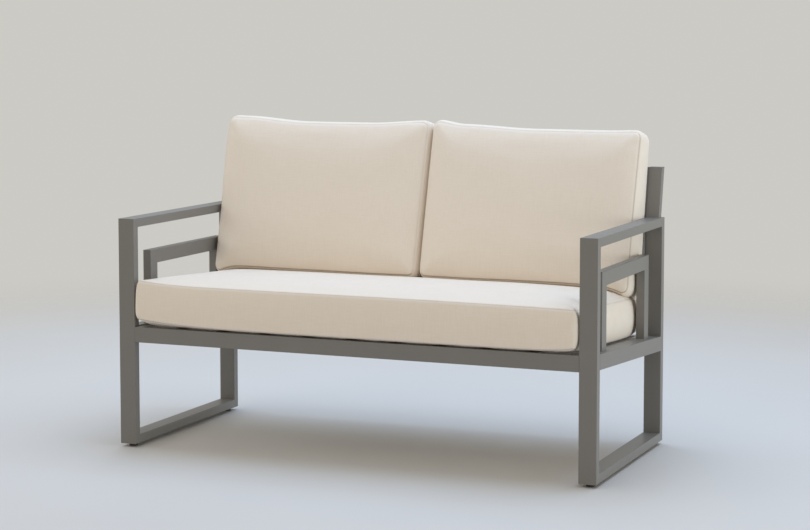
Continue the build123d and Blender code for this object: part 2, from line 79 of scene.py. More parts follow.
SEAT_SLOPE = math.radians(3.5)
BACK_LEAN = math.radians(11.5)
WIDTHWAYS = Vector((1.0, 0.0, 0.0))
DOWN = Vector((0.0, 0.0, -1.0))
# Name of the point attribute that says how much painted shade each seam point gets
SEAM_SHADE = "seam"

# Places of the colour sockets on the Mix node
MIX_FIRST, MIX_SECOND, MIX_RESULT = 6, 7, 2


def colour(red: int, green: int, blue: int) -> Colour:
    """Turns a display colour into the linear one that shaders use.

    Args:
        red: Red, 0 to 255.
        green: Green, 0 to 255.
        blue: Blue, 0 to 255.

    Returns:
        The linear colour with full alpha.
    """
    linear = []
    for share in (red / 255, green / 255, blue / 255):
        curved = ((share + 0.055) / 1.055) ** 2.4
        linear.append(share / 12.92 if share <= 0.04045 else curved)
    return (*linear, 1.0)


def smooth(share: float) -> float:
    """Eases 0 to 1 with flat ends; what lies outside is clamped."""
    share = min(1.0, max(0.0, share))
    return share * share * (3 - 2 * share)


def along_line(points: Sequence[Pair], place: float) -> float:
    """Reads a line through points, eased between them.

    Args:
        points: Pairs of place and value, in order of place.
        place: Where to read.

    Returns:
        The value there.
    """
    if place <= points[0][0]:
        return points[0][1]
    for (low, first), (high, second) in zip(points, points[1:]):
        if place <= high:
            return first + (second - first) * smooth((place - low) / (high - low))
    return points[-1][1]


class Reading:
    """An output socket; arithmetic on it adds Math nodes."""

    def __init__(self, recipe: Recipe, socket: bpy.types.NodeSocket) -> None:
        """Keeps the socket and the recipe that it belongs to."""
        self.recipe = recipe
        self.socket = socket

    def _math(self, operation: str, *values: Any) -> Reading:
        """Adds one Math node with this and other values."""
        inputs = dict(enumerate(values))
        return self.recipe.node("ShaderNodeMath", {"operation": operation}, inputs)

    def __add__(self, other: Any) -> Reading:
        """This plus another."""
        return self._math("ADD", self, other)

    __radd__ = __add__

    def __sub__(self, other: Any) -> Reading:
        """This less another."""
        return self._math("SUBTRACT", self, other)

    def __rsub__(self, other: Any) -> Reading:
        """Another less this."""
        return self._math("SUBTRACT", other, self)

    def __mul__(self, other: Any) -> Reading:
        """This times another."""
        return self._math("MULTIPLY", self, other)

    __rmul__ = __mul__

    def __truediv__(self, other: Any) -> Reading:
        """This over another."""
        return self._math("DIVIDE", self, other)

    def __pow__(self, other: Any) -> Reading:
        """This to a power."""
        return self._math("POWER", self, other)

    def __abs__(self) -> Reading:
        """This without its sign."""
        return self._math("ABSOLUTE", self)

    def sine(self) -> Reading:
        """The sine of this."""
        return self._math("SINE", self)

    def share(self, low: float, high: float) -> Reading:
        """How far this is from one value to another, kept within 0 and 1."""
        settings = {"interpolation_type": "SMOOTHSTEP", "clamp": True}
        return self.recipe.node("ShaderNodeMapRange", settings, {0: self, 1: low, 2: high})


def weighted(shares: Sequence[Any], *readings: Reading) -> Reading:
    """Adds readings up, each times its share, which is a number or a reading."""
    first, *rest = (reading * share for reading, share in zip(readings, shares))
    return sum(rest, start=first)


class Recipe:
    """A material under construction."""

    def __init__(self, name: str) -> None:
        """Starts an empty material of a name."""
        self.material = bpy.data.materials.new(name)
        self.material.use_nodes = True
        self.tree = self.material.node_tree
        self.tree.nodes.clear()

    def node(
        self,
        kind: str,
        settings: dict[str, Any],
        inputs: dict[Any, Any],
        output: int | str = 0,
    ) -> Reading:
        """Adds a node.

        Args:
            kind: The node's type name.
            settings: Its properties, set first.
            inputs: Values or readings, by the sockets' names or numbers.
            output: Which output to read.

        Returns:
            The reading of that output.
        """
        made = self.tree.nodes.new(kind)
        for key, value in settings.items():
            setattr(made, key, value)
        for key, value in inputs.items():
            if isinstance(value, Reading):
                self.tree.links.new(value.socket, made.inputs[key])
            else:
                made.inputs[key].default_value = value
        return Reading(self, made.outputs[output])

    def place(self) -> tuple[Reading, Reading, Reading, Reading]:
        """Object coordinates as a vector and as three numbers."""
        vector = self.node("ShaderNodeTexCoord", {}, {}, "Object")
        return (vector, *self.split(vector))

    def split(self, vector: Reading) -> tuple[Reading, Reading, Reading]:
        """The three parts of a vector."""
        first = self.node("ShaderNodeSeparateXYZ", {}, {0: vector})
        outputs = first.socket.node.outputs
        return tuple(Reading(self, outputs[index]) for index in range(3))

    def noise(self, vector: Reading, size: float, detail: float) -> Reading:
        """Cloudy noise of a feature size in metres, 0 to 1."""
        inputs = {"Vector": vector, "Scale": 1 / size, "Detail": detail}
        return self.node("ShaderNodeTexNoise", {}, inputs)

    def stretched(self, vector: Reading, scale: Triple) -> Reading:
        """A vector times three factors."""
        return self.node("ShaderNodeVectorMath", {"operation": "MULTIPLY"}, {0: vector, 1: scale})

    def mix(self, factor: Reading, first: Any, second: Any) -> Reading:
        """Mixes two colours."""
        inputs = {0: factor, MIX_FIRST: first, MIX_SECOND: second}
        return self.node("ShaderNodeMix", {"data_type": "RGBA"}, inputs, MIX_RESULT)

    def bump(self, height: Reading, depth: float, strength: float) -> Reading:
        """A normal from a height of 0 to 1 over a depth in metres."""
        inputs = {"Height": height, "Distance": depth, "Strength": strength}
        return self.node("ShaderNodeBump", {}, inputs)

    def finished(self, inputs: dict[str, Any]) -> bpy.types.Material:
        """Ends the material in a Principled shader.

        Args:
            inputs: Values or readings of the shader's sockets.

        Returns:
            The material.
        """
        surface = self.node("ShaderNodeBsdfPrincipled", {}, inputs)
        output = self.tree.nodes.new("ShaderNodeOutputMaterial")
        self.tree.links.new(surface.socket, output.inputs["Surface"])
        return self.material


@dataclass(frozen=True)
class PowderCoat:
    """Satin powder coat on aluminium tube, with its fine orange peel."""

    name: str = "taupe_powder_coat"
    base: Colour = colour(118, 114, 108)
    light: Colour = colour(127, 123, 117)
    cloud: float = 70 * MM
    peel: float = 1.4 * MM
    grain: float = 0.5 * MM
    roughness: float = 0.42
    roughness_swing: float = 0.1

    def material(self) -> bpy.types.Material:
        """Builds the coat."""
        recipe = Recipe(self.name)
        vector, *_ = recipe.place()
        cloud = recipe.noise(vector, self.cloud, detail=3.0)
        grain = recipe.noise(vector, self.grain, detail=1.0)
        peel = recipe.noise(vector, self.peel, detail=2.0)
        speckle = grain.share(0.35, 0.75)
        tone = weighted((0.55, 0.45), cloud, speckle)
        gloss = weighted((0.4, 0.6), cloud, speckle) - 0.5
        height = weighted((0.7, 0.3), peel, grain)
        return recipe.finished(
            {
                "Base Color": recipe.mix(tone, self.base, self.light),
                "Roughness": self.roughness + self.roughness_swing * gloss,
                "Specular IOR Level": 0.5,
                "Normal": recipe.bump(height, depth=0.05 * MM, strength=0.45),
            }
        )


@dataclass(frozen=True)
class Canvas:
    """Woven outdoor canvas: a plain weave on each of the three main planes, and painted shade along the
    seams.
    """

    name: str = "cream_canvas"
    base: Colour = colour(238, 226, 210)
    deep: Colour = colour(227, 212, 193)
    # Painted shade along the seams: the seam line itself plus painted shade in its groove, strongest where
    # a back cushion sits on the seat
    painted_seam_shade: Colour = colour(128, 112, 94)
    painted_seam_shade_share: float = 0.8
    pitch: float = 0.95 * MM
    crossing_slope: float = 3.0
    cloud: float = 120 * MM
    slub: float = 2.2 * MM
    slub_stretch: float = 0.06
    facing_power: float = 6.0

    def material(self) -> bpy.types.Material:
        """Builds the cloth."""
        recipe = Recipe(self.name)
        vector, x, y, z = recipe.place()
        normal = recipe.node("ShaderNodeTexCoord", {}, {}, "Normal")
        facing = [abs(part) ** self.facing_power for part in recipe.split(normal)]
        weaves = [self.plain_weave(*plane) for plane in ((y, z), (x, z), (x, y))]
        weave = weighted(facing, *weaves) / (facing[0] + facing[1] + facing[2])
        warp = recipe.stretched(vector, (1.0, self.slub_stretch, self.slub_stretch))
        weft = recipe.stretched(vector, (self.slub_stretch, 1.0, 1.0))
        yarns = [recipe.noise(thread, self.slub, detail=2.0) for thread in (warp, weft)]
        slubs = weighted((0.5, 0.5), *yarns)
        cloud = recipe.noise(vector, self.cloud, detail=3.0)
        depth = weighted((0.45, 0.3, 0.25), 1 - weave, slubs.share(0.35, 0.65), cloud)
        cloth = recipe.mix(depth, self.base, self.deep)
        # How much painted seam shade each point gets, as the cushion wrote it
        seam = recipe.node("ShaderNodeAttribute", {"attribute_name": SEAM_SHADE}, {}, "Fac")
        height = weighted((0.8, 0.2), weave, slubs)
        return recipe.finished(
            {
                "Base Color": recipe.mix(seam * self.painted_seam_shade_share, cloth, self.painted_seam_shade),
                "Roughness": 0.84 + 0.1 * slubs,
                "Specular IOR Level": 0.25,
                "Sheen Weight": 0.22,
                "Sheen Roughness": 0.45,
                "Normal": recipe.bump(height, depth=0.16 * MM, strength=0.5),
            }
        )

    def plain_weave(self, across: Reading, along: Reading) -> Reading:
        """Height of over-and-under threads on one plane, 0 to 1.

        Args:
            across: Coordinate across the warp.
            along: Coordinate along the warp.

        Returns:
            The height.
        """
        warp = (across * (math.pi / self.pitch)).sine()
        weft = (along * (math.pi / self.pitch)).sine()
        over = (warp * weft * self.crossing_slope + 0.5).share(0.0, 1.0)
        return over * abs(warp) + (1 - over) * abs(weft)


@dataclass(frozen=True)
class MouldedPlastic:
    """Moulded plastic with a fine spark-eroded skin."""

    name: str
    base: Colour
    light: Colour
    skin: float = 0.6 * MM
    scuff: float = 6 * MM
    scuff_stretch: Triple = (1.0, 0.25, 1.0)
    roughness: float = 0.5

    def material(self) -> bpy.types.Material:
        """Builds the plastic."""
        recipe = Recipe(self.name)
        vector, *_ = recipe.place()
        skin = recipe.noise(vector, self.skin, detail=2.0)
        streaks = recipe.noise(recipe.stretched(vector, self.scuff_stretch), self.scuff, detail=4.0)
        scuffs = streaks.share(0.52, 0.72)
        tone = weighted((0.6, 0.3), scuffs, skin)
        return recipe.finished(
            {
                "Base Color": recipe.mix(tone, self.base, self.light),
                "Roughness": self.roughness + 0.22 * scuffs,
                "Normal": recipe.bump(skin, depth=0.05 * MM, strength=0.4),
            }
        )


@dataclass(frozen=True)
class Steel:
    """Plated steel with fine turning marks."""

    name: str = "plated_steel"
    base: Colour = colour(176, 178, 180)
    light: Colour = colour(202, 203, 203)
    mark: float = 0.35 * MM
    mark_stretch: Triple = (3.0, 1.0, 0.15)
    blotch: float = 5 * MM

    def material(self) -> bpy.types.Material:
        """Builds the steel."""
        recipe = Recipe(self.name)
        vector, *_ = recipe.place()
        marks = recipe.noise(recipe.stretched(vector, self.mark_stretch), self.mark, detail=2.0)
        blotch = recipe.noise(vector, self.blotch, detail=3.0)
        return recipe.finished(
            {
                "Base Color": recipe.mix(blotch, self.base, self.light),
                "Metallic": 1.0,
                "Roughness": 0.26 + 0.16 * marks,
                "Normal": recipe.bump(marks, depth=0.02 * MM, strength=0.35),
            }
        )


@dataclass(frozen=True)
class ZipTape:
    """Herringbone tape of a zip."""

    name: str = "zip_tape"
    base: Colour = colour(205, 194, 174)
    deep: Colour = colour(186, 174, 153)
    pitch: float = 0.8 * MM
    twill: float = 0.6
    wear: float = 8 * MM

    def material(self) -> bpy.types.Material:
        """Builds the tape."""
        recipe = Recipe(self.name)
        vector, across, depth, height = recipe.place()
        slant = across + depth * self.twill + height * self.twill
        ribs = (slant * (2 * math.pi / self.pitch)).sine() * 0.5 + 0.5
        wear = recipe.noise(vector, self.wear, detail=3.0)
        tone = weighted((0.6, 0.4), 1 - ribs, wear)
        return recipe.finished(
            {
                "Base Color": recipe.mix(tone, self.base, self.deep),
                "Roughness": 0.75 + 0.12 * wear,
                "Normal": recipe.bump(ribs, depth=0.1 * MM, strength=0.5),
            }
        )


@dataclass(frozen=True)
class StudioFloor:
    """Pale floor that fades into the backdrop all round."""

    name: str = "studio_floor"
    base: Colour = colour(209, 206, 202)
    light: Colour = colour(215, 212, 207)
    cloud: float = 0.9
    fade_from: float = 2.1
    fade_to: float = 4.4

    def material(self) -> bpy.types.Material:
        """Builds the floor's paint."""
        recipe = Recipe(self.name)
        vector, across, depth, _ = recipe.place()
        cloud = recipe.noise(vector, self.cloud, detail=4.0)
        reach = (across * across + depth * depth) ** 0.5
        return recipe.finished(
            {
                "Base Color": recipe.mix(cloud, self.base, self.light),
                "Roughness": 0.62 + 0.1 * cloud,
                "Alpha": 1 - reach.share(self.fade_from, self.fade_to),
                "Specular IOR Level": 0.2,
            }
        )


class Shade(Enum):
    """The colours of moulded plastic on the loveseat."""

    BLACK = (colour(30, 30, 31), colour(58, 58, 58))
    TAUPE = (colour(104, 100, 94), colour(120, 115, 109))
    COIL = (colour(172, 160, 140), colour(190, 179, 160))

    def plastic(self, name: str) -> bpy.types.Material:
        """A moulded plastic of this shade."""
        return MouldedPlastic(name, *self.value).material()


def dress(piece: bpy.types.Object, material: bpy.types.Material) -> None:
    """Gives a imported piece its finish.

    Args:
        piece: The piece.
        material: Its finish.
    """
    if not piece.material_slots:
        piece.data.materials.append(material)
    for slot in piece.material_slots:
        slot.material = material
    LOG.info("dressed %s in %s", piece.name, material.name)


def shade_smooth(mesh: bpy.types.Mesh) -> None:
    """Makes every face of a mesh smooth."""
    mesh.polygons.foreach_set("use_smooth", [True] * len(mesh.polygons))


def make_object(name: str, points: Sequence[Vector], faces: Faces) -> bpy.types.Object:
    """Makes a mesh object with smooth faces.

    Args:
        name: The object's name.
        points: Its vertices.
        faces: Its faces as lists of vertex numbers.

    Returns:
        The linked object.
    """
    mesh = bpy.data.meshes.new(name)
    mesh.from_pydata([tuple(point) for point in points], [], [tuple(face) for face in faces])
    mesh.validate()
    mesh.update()
    shade_smooth(mesh)
    made = bpy.data.objects.new(name, mesh)
    bpy.context.scene.collection.objects.link(made)
    return made


def add_row(points: list[Vector], places: Iterable[Vector]) -> range:
    """Adds points to a mesh's and gives their numbers."""
    first = len(points)
    points.extend(places)
    return range(first, len(points))


def strip(low: Sequence[int], high: Sequence[int], closed: bool = True) -> Faces:
    """Quads between two rows of points; a closed strip goes round."""
    ends = [*range(1, len(low)), 0] if closed else range(1, len(low))
    return [(low[at], low[after], high[after], high[at]) for at, after in enumerate(ends)]


def surface_of(piece: bpy.types.Object) -> BVHTree:
    """A search tree of a mesh for ray casts."""
    points = [vertex.co.copy() for vertex in piece.data.vertices]
    return BVHTree.FromPolygons(points, [tuple(face.vertices) for face in piece.data.polygons])


def ticks(length: float, step: float, edge: float) -> list[float]:
    """Even places across a length, with one close to each end.

    Args:
        length: The whole length; places run from minus to plus its half.
        step: The spacing wanted.
        edge: How far in the places beside the ends lie.

    Returns:
        The places in order.
    """
    inner = length / 2 - edge
    count = max(1, round(2 * inner / step))
    inside = [-inner + 2 * inner * index / count for index in range(count + 1)]
    return [-length / 2, *inside, length / 2]


@dataclass
class Axes:
    """A cushion's own directions and the reach of its solid along them."""

    up: Vector
    out: Vector
    low: Vector = field(default_factory=Vector)
    high: Vector = field(default_factory=Vector)

    def reach(self, mesh: bpy.types.Mesh) -> list[list[float]]:
        """Where a mesh's vertices lie along each direction."""
        basis = (WIDTHWAYS, self.up, self.out)
        return [[vertex.co.dot(axis) for vertex in mesh.vertices] for axis in basis]

    def read(self, mesh: bpy.types.Mesh) -> None:
        """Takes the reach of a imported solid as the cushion's own."""
        reach = self.reach(mesh)
        self.low = Vector([min(values) for values in reach])
        self.high = Vector([max(values) for values in reach])

    def point(self, across: float, along: float, out: float) -> Vector:
        """The place of a distance along each direction."""
        return WIDTHWAYS * across + self.up * along + self.out * out


@dataclass(kw_only=True)
class Cushion:
    """A boxed cushion: a rest side, a band round it and a crowned face.

    The mesh is a grid on each panel and on the band, joined along the seams. It is
    inflated as cloth, limited, and then fitted to the space of its solid. Each pair is
    for the left and the right side, but the thickness is for the two ends.
    """

    name: str
    axes: Axes
    canvas: bpy.types.Material
    fill: float = 0.85

    # Plan
    corner: float
    pull: float
    bulge: float
    side_bulges: Pair
    bulge_power: float = 4.0
    rest_bulge_share: float = 0.0

    # Band, corners and ends
    thickness: Pair
    rest_rise: float = 2 * MM
    rest_edge_power: float = 3.0
    flatten_run: float = 50 * MM
    rest_lifts: Pair
    face_lifts: Pair
    rest_powers: Pair = (6.0, 6.0)
    face_powers: Pair = (6.0, 6.0)
    lift_power: float = 6.0
    end_lifts: Pair = (0.0, 0.0)
    end_power: float = 3.0

    # Face
    crown: float
    crown_run: float = 0.43
    crown_power: float = 2.3
    roll: float = 16 * MM
    roll_run: float = 52 * MM
    roll_power: float = 2.2
    roll_stretch: float = 1.0
    roll_widths: Pair = (1.0, 1.0)
    corner_blend: float = 1.6
    least: float = 0.01 * MM

    # Seams; the painted shades, for the left, right, front or bottom, and rear or top one, darken the seam
    # line and its groove
    seam_shades: tuple[float, float, float, float]
    seam_step: float = 2.8 * MM
    seam_depth: float = 3.0 * MM

    # Mesh and cloth
    step: float
    frames: int = 20
    pressure: float = 4.0
    pin_stiffness: float = 5.0
    bending_stiffness: float = 2.0
    stretch_stiffness: float = 12.0
    swell: float = 6 * MM
    band_swell: float = 2.5 * MM

    # Puckers and dents
    pucker: float = 0.9 * MM
    pucker_length: float = 30 * MM
    pucker_reach: float = 45 * MM
    fine_scale: float = 2.3
    fine_share: float = 0.5
    broad_scale: float = 6.0
    broad_share: float = 1.4
    broad_run: float = 60 * MM

    piece: bpy.types.Object = field(init=False)
    seams: list[list[int]] = field(init=False)
    face_points: range = field(init=False)

    def size(self) -> Pair:
        """Half width and half length of the seams."""
        reach = self.axes.high - self.axes.low
        return (reach.x - sum(self.side_bulges)) / 2, reach.y / 2 - self.bulge

    def centre(self) -> Vector:
        """Middle of the seams along the cushion's own directions."""
        left, right = self.side_bulges
        return (self.axes.low + self.axes.high) / 2 + Vector(((left - right) / 2, 0.0, 0.0))

    def outline(self, across: float, along: float, share: float) -> Pair:
        """Rounds a rectangle's corners and draws its sides in.

        Args:
            across: Place across the rectangle, minus to plus its half width.
            along: Place along it.
            share: How far up the band, 0 at the rest side and 1 at the face.

        Returns:
            The two places on the rounded form.
        """
        half_width, half_length = self.size()
        kept = self.rest_bulge_share if share < 0.5 else 0.0
        swell = 1 - (1 - kept) * abs(2 * share - 1) ** self.bulge_power
        over_x = max(0.0, abs(across) - (half_width - self.corner)) / self.corner
        over_y = max(0.0, abs(along) - (half_length - self.corner)) / self.corner
        lean_x = over_x * math.sqrt(1 - over_y * over_y / 2)
        lean_y = over_y * math.sqrt(1 - over_x * over_x / 2)
        edge_x, edge_y = across / half_width, along / half_length
        draw = -self.pull * (1 - edge_x * edge_x) * edge_y ** 3
        side_bulge = self.side_bulges[1 if across > 0 else 0]
        out_x = self.corner * (lean_x - over_x) + side_bulge * swell * lean_x
        out_y = self.corner * (lean_y - over_y) + self.bulge * swell * lean_y
        return (
            across + math.copysign(1.0, across) * out_x,
            along + math.copysign(1.0, along) * out_y + draw,
        )

    def dome(self, across: float, along: float) -> float:
        """Height of the face over its seam: a steep roll beside the seam and a broad crown."""
        half_width, half_length = self.size()
        inward_x = max(self.least, half_width - abs(across))
        inward_y = max(self.least, half_length - abs(along))
        blend = self.corner_blend
        roll_x = inward_x / self.roll_widths[1 if across > 0 else 0]
        roll_inward = (roll_x ** -blend + (inward_y / self.roll_stretch) ** -blend) ** (-1 / blend)
        crown_inward = (inward_x ** -blend + inward_y ** -blend) ** (-1 / blend)
        run = 2 * self.crown_run * min(half_width, half_length)
        roll = 1 - (1 - min(1.0, roll_inward / self.roll_run)) ** self.roll_power
        crown = 1 - (1 - min(1.0, crown_inward / run)) ** self.crown_power
        return self.roll * roll + (self.crown - self.roll) * crown

    def corner_lift(self, across: float, along: float, share: float) -> float:
        """How far a corner turns up, at the rest seam for share 0 and the face seam for 1."""
        half_width, half_length = self.size()
        side = 1 if across > 0 else 0
        aside = abs(across / half_width)
        near_end = abs(along / half_length) ** self.lift_power
        rest = self.rest_lifts[side] * aside ** self.rest_powers[side]
        face = self.face_lifts[side] * aside ** self.face_powers[side]
        end = self.end_lifts[side] * aside ** self.end_power
        return near_end * rest * (1 - share) ** 2 + (near_end * face + end) * share ** 2

    def stand(self, along: float) -> float:
        """Height of the face seam above the rest side at a place along the cushion."""
        _, half_length = self.size()
        low, high = self.thickness
        return low + (high - low) * (along + half_length) / (2 * half_length)

    def place(self, across: float, along: float, share: float, lift: float) -> Vector:
        """A point of the slack cushion, in space."""
        x, y = self.outline(across, along, share)
        low_edge = self.rest_rise * (1 - share) ** self.rest_edge_power
        out = self.stand(along) * share + low_edge + self.corner_lift(across, along, share) + lift
        middle = self.centre()
        return self.axes.point(middle.x + x, middle.y + y, self.axes.low.z + out)

    def panel_point(self, across: float, along: float, share: float) -> Vector:
        """A point of the rest panel, for share 0, or of the face, for share 1."""
        if share:
            return self.place(across, along, share, self.dome(across, along))
        half_width, half_length = self.size()
        inward = min(half_width - abs(across), half_length - abs(along))
        eased = smooth(inward / self.flatten_run)
        lift = -self.rest_rise * eased - self.corner_lift(across, along, share) * eased
        return self.place(across, along, share, lift)

    def build(self) -> None:
        """Makes the grid of the two panels and the band."""
        half_width, half_length = self.size()
        tallest = max(self.thickness)
        across = ticks(2 * half_width, self.step, self.seam_step)
        along = ticks(2 * half_length, self.step, self.seam_step)
        tall = ticks(1.0, self.step / tallest, self.seam_step / tallest)
        columns, rows = len(across), len(along)
        ring = (
            [(i, 0) for i in range(columns)]
            + [(columns - 1, j) for j in range(1, rows)]
            + [(i, rows - 1) for i in range(columns - 2, -1, -1)]
            + [(0, j) for j in range(rows - 2, 0, -1)]
        )
        points: list[Vector] = []
        faces: Faces = []
        rings: list[list[int]] = []
        for share in (0.0, 1.0):
            lines = [add_row(points, (self.panel_point(x, y, share) for x in across)) for y in along]
            for low, high in zip(lines, lines[1:]):
                quads = strip(low, high, closed=False)
                faces += quads if share else [quad[::-1] for quad in quads]
            rings.append([lines[j][i] for i, j in ring])
        band = [rings[0]]
        for share in (place + 0.5 for place in tall[1:-1]):
            band.append(add_row(points, (self.place(across[i], along[j], share, 0.0) for i, j in ring)))
        band.append(rings[1])
        for low, high in zip(band, band[1:]):
            faces += strip(low, high)
        self.seams = rings
        self.piece = make_object(self.name, points, faces)
        self.face_points = range(rings[1][0], rings[1][0] + columns * rows)
        self.shade_seams(ring)
        held = self.piece.vertex_groups.new(name="held")
        held.add([*range(columns * rows), *rings[1]], 1.0, "REPLACE")

    def shade_seams(self, ring: list[tuple[int, int]]) -> None:
        """Writes how much painted shade each point of the seams gets, from the columns and rows of a seam.
        """
        seam = self.piece.data.attributes.new(SEAM_SHADE, "FLOAT", "POINT")
        left, right, front, rear = self.seam_shades
        last_column, last_row = max(i for i, _ in ring), max(j for _, j in ring)
        for number, (i, j) in enumerate(ring):
            sides = ((i == 0, left), (i == last_column, right), (j == 0, front), (j == last_row, rear))
            shade = max(value for touched, value in sides if touched)
            for seam_ring in self.seams:
                seam.data[seam_ring[number]].value = shade

    def inflate(self) -> None:
        """Swells the cushion as cloth under pressure and limits how far it moves."""
        scene = bpy.context.scene
        start = [vertex.co.copy() for vertex in self.piece.data.vertices]
        cloth = self.piece.modifiers.new("swell", "CLOTH")
        settings = cloth.settings
        settings.use_pressure = True
        settings.uniform_pressure_force = self.pressure
        settings.effector_weights.gravity = 0.0
        settings.vertex_group_mass = "held"
        settings.pin_stiffness = self.pin_stiffness
        settings.bending_stiffness = self.bending_stiffness
        settings.tension_stiffness = self.stretch_stiffness
        settings.compression_stiffness = self.stretch_stiffness
        cloth.point_cache.frame_start = 1
        cloth.point_cache.frame_end = self.frames
        for frame in range(1, self.frames + 1):
            scene.frame_set(frame)
        settled = self.piece.evaluated_get(bpy.context.evaluated_depsgraph_get())
        ends = [vertex.co.copy() for vertex in settled.data.vertices]
        self.piece.modifiers.remove(cloth)
        scene.frame_set(1)
        for vertex, before, after in zip(self.piece.data.vertices, start, ends):
            move = after - before
            far = move.length
            most = self.swell if vertex.index in self.face_points else self.band_swell
            kept = math.tanh(far / most) * most / far if far > 0 else 0.0
            vertex.co = before + move * kept

    def puff(self) -> None:
        """Pinches the seams in and puckers the cloth beside them."""
        mesh = self.piece.data
        mesh.update()
        seam_points = {index for ring in self.seams for index in ring}
        normals = [vertex.normal.copy() for vertex in mesh.vertices]
        half_width, half_length = self.size()
        middle = self.centre()
        for vertex in mesh.vertices:
            local = vertex.co
            x = abs(local.dot(WIDTHWAYS) - middle.x)
            y = abs(local.dot(self.axes.up) - middle.y)
            inward = max(0.0, min(half_width - x, half_length - y))
            fade = (1 - smooth(inward / self.pucker_reach)) * smooth(inward / self.seam_step)
            ripple = noise.noise(local / self.pucker_length)
            ripple += self.fine_share * noise.noise(local * self.fine_scale / self.pucker_length)
            broad = noise.noise(local / (self.broad_scale * self.pucker_length))
            dent = self.broad_share * broad * smooth(inward / self.broad_run)
            vertex.co += normals[vertex.index] * (self.pucker * (fade * ripple + dent))
        for index in seam_points:
            mesh.vertices[index].co -= normals[index] * self.seam_depth
        mesh.update()

    def refine(self) -> None:
        """Adds one level of subdivision and keeps it."""
        fine = self.piece.modifiers.new("fine", "SUBSURF")
        fine.levels = 1
        fine.render_levels = 1
        graph = bpy.context.evaluated_depsgraph_get()
        made = bpy.data.meshes.new_from_object(self.piece.evaluated_get(graph))
        self.piece.modifiers.remove(fine)
        self.piece.vertex_groups.clear()
        self.piece.data = made
        made.name = self.name
        shade_smooth(made)

    def fit(self) -> None:
        """Fits the form to the reach of its solid, with the face seam kept at its height."""
        axes = self.axes
        reach = axes.reach(self.piece.data)
        lows = [min(values) for values in reach]
        highs = [max(values) for values in reach]
        middle = self.centre()
        proud = [out - lows[2] - self.stand(along - middle.y) for along, out in zip(reach[1], reach[2])]
        rise = self.crown / max(proud)
        for index, vertex in enumerate(self.piece.data.vertices):
            place = []
            for axis in range(2):
                share = (reach[axis][index] - lows[axis]) / (highs[axis] - lows[axis])
                place.append(axes.low[axis] + (axes.high[axis] - axes.low[axis]) * share)
            out = reach[2][index] - lows[2] + max(0.0, proud[index]) * (rise - 1)
            vertex.co = axes.point(*place, axes.low.z + out)
        self.piece.data.update()

    def shape(self) -> None:
        """Bends the fitted form; a plain cushion stays as it is."""

    def make(self) -> None:
        """Runs the steps in order."""
        self.build()
        self.inflate()
        self.puff()
        self.refine()
        self.fit()
        self.shape()
        self.piece.data.materials.clear()
        self.piece.data.materials.append(self.canvas)
        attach(self.piece, self.body())
        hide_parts(f"{self.body()}_cover", f"{self.body()}_foam")
        LOG.info("made %s, %d points", self.name, len(self.piece.data.vertices))

    def body(self) -> str:
        """Name of the body that the cushion is."""
        return self.name.removesuffix("_upholstery")


@dataclass(kw_only=True)
class BackCushion(Cushion):
    """A back cushion, which settles onto the seat cushion and slumps a little."""

    seat: Cushion
    arm_side: int
    top_line: Line
    arm_line: Line
    top_from: float = 0.3
    settle_gap: float = 0.6 * MM
    settle_share: float = 0.45
    edge_inset: float = 16 * MM
    above: float = 1.0

    def shape(self) -> None:
        """Follows the seat below, gives the top edge its line and leans over the arm."""
        below = surface_of(self.seat.piece)
        own = surface_of(self.piece)
        vertices = self.piece.data.vertices
        heights = [vertex.co.dot(self.axes.up) for vertex in vertices]
        low, high = min(heights), max(heights)
        half_width, _ = self.size()
        middle = self.centre()
        inner = half_width - self.corner
        front = self.axes.point(0.0, self.axes.low.y, self.axes.low.z + self.thickness[0])
        edge = front.y + self.edge_inset
        for vertex, height in zip(vertices, heights):
            share = (height - low) / (high - low)
            aside = vertex.co.x - middle.x
            width_share = aside / half_width
            across = middle.x + min(inner, max(-inner, aside))
            seat_hit = below.ray_cast(Vector((across, edge, self.above)), DOWN)[0]
            own_hit = own.ray_cast(Vector((across, edge, 0.0)), -DOWN)[0]
            drop = seat_hit.z + self.settle_gap - own_hit.z
            settled = drop * (1 - smooth(share / self.settle_share))
            near_top = smooth((share - self.top_from) / (1 - self.top_from))
            forward = (vertex.co.dot(self.axes.out) - self.axes.low.z) / self.thickness[0]
            flare = along_line(self.arm_line, share) * smooth(forward)
            flare *= max(0.0, width_share * self.arm_side)
            vertex.co += Vector((flare * self.arm_side, 0.0, settled))
            vertex.co += self.axes.up * (along_line(self.top_line, width_share) * near_top)
        for vertex in vertices:
            hit = below.ray_cast(Vector((vertex.co.x, vertex.co.y, self.above)), DOWN)[0]
            if hit and vertex.co.z < hit.z + self.settle_gap:
                vertex.co.z = hit.z + self.settle_gap
        self.piece.data.update()


